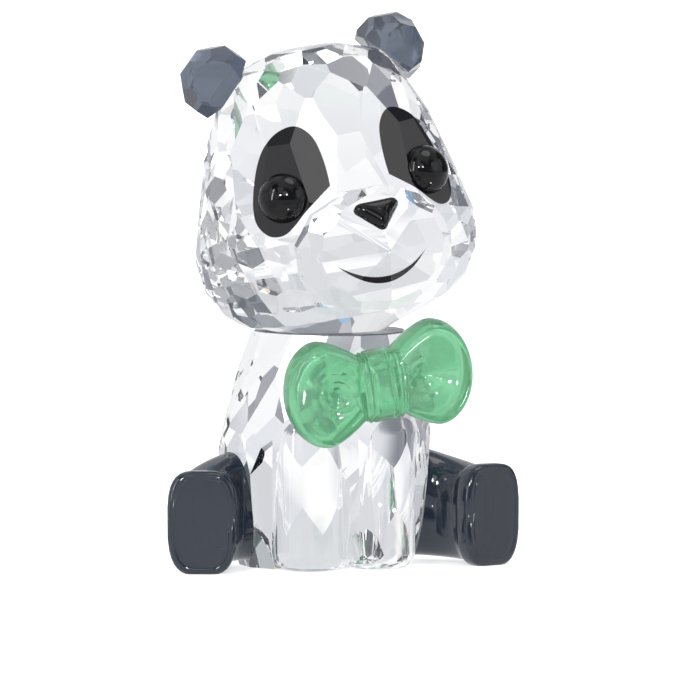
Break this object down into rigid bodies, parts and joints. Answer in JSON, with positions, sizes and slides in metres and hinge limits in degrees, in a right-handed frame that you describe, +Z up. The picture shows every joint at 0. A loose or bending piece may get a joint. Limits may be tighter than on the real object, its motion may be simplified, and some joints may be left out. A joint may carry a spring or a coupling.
{
  "type": "figurine",
  "caption": "Seated panda figurine of cut crystal: faceted clear head and body, dark slate ears and legs, black beads for eyes and nose, green glass bow tie",
  "frame": {"origin": "Middle of the body's flat underside, on the surface that the figurine stands on.", "axes": "+Z is up, the panda faces -Y, and +X is the panda's own left."},
  "size_m": [0.0322, 0.0267, 0.0484],
  "materials": {
    "clear_crystal": "clear crystal, ground and polished facets",
    "slate_crystal": "dark slate-blue crystal, polished",
    "green_glass": "green transparent glass, fire-polished",
    "black_bead": "high gloss black"
  },
  "bodies": {
    "root": {"body": "clear_crystal", "head": "clear_crystal", "left_leg": "slate_crystal", "right_leg": "slate_crystal", "left_ear": "slate_crystal", "right_ear": "slate_crystal", "left_eye": "black_bead", "right_eye": "black_bead", "nose": "black_bead", "bow_tie": "green_glass"}
  },
  "joints": []
}
